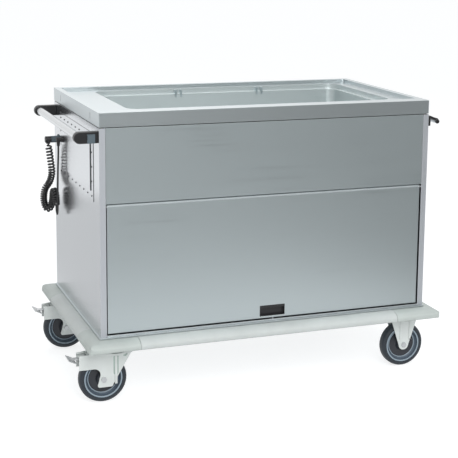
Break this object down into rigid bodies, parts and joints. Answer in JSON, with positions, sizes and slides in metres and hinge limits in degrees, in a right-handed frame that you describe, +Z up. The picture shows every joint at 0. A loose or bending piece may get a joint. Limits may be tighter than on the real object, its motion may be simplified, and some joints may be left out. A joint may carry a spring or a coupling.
{
  "type": "heated food trolley",
  "caption": "Hostess trolley: stainless heated well for food pans over a cupboard with a lift-up flap, on braked swivel and fixed castors with a wrap-round bumper.",
  "frame": {"origin": "on the floor, under the middle of the whole trolley without its cord", "axes": "+Z up, the flap faces -Y, the push handle is at the -X end"},
  "size_m": [1.42, 0.85, 1.04],
  "materials": {
    "stainless_top": "fine brushed",
    "stainless_body": "fine brushed",
    "stainless_well": "satin, bead blasted look",
    "bumper_plastic": "fine grained",
    "black_plastic": "satin moulded",
    "blue_grey_plastic": "satin moulded",
    "zinc_plate": "bright zinc plate",
    "steel_hardware": "machined",
    "tyre_rubber": "moulded rubber",
    "rim_plastic": "moulded, light ring",
    "insulation_wool": "mineral wool",
    "silicone_mat": "silicone",
    "terminal_plastic": "moulded",
    "cord_pvc": "satin",
    "rocker_plastic": "clear coloured"
  },
  "bodies": {
    "cabinet": {"worktop": "stainless_top", "pan_frame": "stainless_well", "well_basin": "stainless_well", "bar_hooks": "stainless_well", "heating_mats": "silicone_mat", "insulation": "insulation_wool", "well_tray": "stainless_body", "left_end_panel": "stainless_body", "right_end_panel": "stainless_body", "front_panel": "stainless_body", "rear_panel": "stainless_body", "cupboard_floor": "stainless_body", "base_frame": "stainless_body", "hinge_bushes": "steel_hardware", "flap_striker": "steel_hardware", "push_handle": "stainless_body", "push_handle_arms": "black_plastic", "arm_inserts": "blue_grey_plastic", "pull_rail": "stainless_body", "rail_hooks": "black_plastic", "rail_plugs": "black_plastic", "service_cover": "stainless_body", "cover_screws": "steel_hardware", "terminal_block": "terminal_plastic", "parking_socket": "blue_grey_plastic", "cord_gland": "black_plastic", "plug": "black_plastic", "cord_curl": "cord_pvc", "cord_tail": "cord_pvc", "control_plate": "stainless_body", "bumper_corners": "bumper_plastic", "bumper_rails": "bumper_plastic", "castor_plates": "zinc_plate", "swivel_bolts": "steel_hardware", "fixed_forks": "zinc_plate", "fixed_axles": "steel_hardware"},
    "flap": {"flap_skin": "stainless_body", "flap_inner": "stainless_body", "flap_pull": "black_plastic", "flap_pins": "steel_hardware"},
    "castor_front": {"fork_front": "zinc_plate", "axle_front": "steel_hardware"},
    "castor_rear": {"fork_rear": "zinc_plate", "axle_rear": "steel_hardware"},
    "treadle_front": {"pedal_front": "zinc_plate"},
    "treadle_rear": {"pedal_rear": "zinc_plate"},
    "knob": {"thermostat_knob": "black_plastic"},
    "rocker": {"rocker_switch": "rocker_plastic"},
    "wheel_front_left": {"rim_front_left": "rim_plastic", "tyre_front_left": "tyre_rubber", "bearings_front_left": "steel_hardware"},
    "wheel_rear_left": {"rim_rear_left": "rim_plastic", "tyre_rear_left": "tyre_rubber", "bearings_rear_left": "steel_hardware"},
    "wheel_front_right": {"rim_front_right": "rim_plastic", "tyre_front_right": "tyre_rubber", "bearings_front_right": "steel_hardware"},
    "wheel_rear_right": {"rim_rear_right": "rim_plastic", "tyre_rear_right": "tyre_rubber", "bearings_rear_right": "steel_hardware"}
  },
  "joints": [
    {"name": "flap_hinge", "type": "hinge", "parent": "cabinet", "child": "flap", "pos_m": [0.027, -0.36, 0.712], "axis": [-1, 0, 0], "range_deg": [0, 90]},
    {"name": "swivel_front", "type": "hinge", "parent": "cabinet", "child": "castor_front", "pos_m": [-0.538, -0.312, 0.15], "axis": [0, 0, 1], "continuous": true},
    {"name": "spin_front_left", "type": "hinge", "parent": "castor_front", "child": "wheel_front_left", "pos_m": [-0.584, -0.312, 0.086], "axis": [0, 1, 0], "continuous": true},
    {"name": "brake_front", "type": "hinge", "parent": "castor_front", "child": "treadle_front", "pos_m": [-0.646, -0.312, 0.167], "axis": [0, -1, 0], "range_deg": [0, 12]},
    {"name": "spin_front_right", "type": "hinge", "parent": "cabinet", "child": "wheel_front_right", "pos_m": [0.598, -0.312, 0.086], "axis": [0, 1, 0], "continuous": true},
    {"name": "swivel_rear", "type": "hinge", "parent": "cabinet", "child": "castor_rear", "pos_m": [-0.538, 0.312, 0.15], "axis": [0, 0, 1], "continuous": true},
    {"name": "spin_rear_left", "type": "hinge", "parent": "castor_rear", "child": "wheel_rear_left", "pos_m": [-0.584, 0.312, 0.086], "axis": [0, 1, 0], "continuous": true},
    {"name": "brake_rear", "type": "hinge", "parent": "castor_rear", "child": "treadle_rear", "pos_m": [-0.646, 0.312, 0.167], "axis": [0, -1, 0], "range_deg": [0, 12]},
    {"name": "spin_rear_right", "type": "hinge", "parent": "cabinet", "child": "wheel_rear_right", "pos_m": [0.598, 0.312, 0.086], "axis": [0, 1, 0], "continuous": true},
    {"name": "thermostat_turn", "type": "hinge", "parent": "cabinet", "child": "knob", "pos_m": [-0.545, 0.38, 0.892], "axis": [0, 1, 0], "range_deg": [0, 270]},
    {"name": "rocker_tilt", "type": "hinge", "parent": "cabinet", "child": "rocker", "pos_m": [-0.483, 0.362, 0.892], "axis": [1, 0, 0], "range_deg": [-10, 10]}
  ]
}
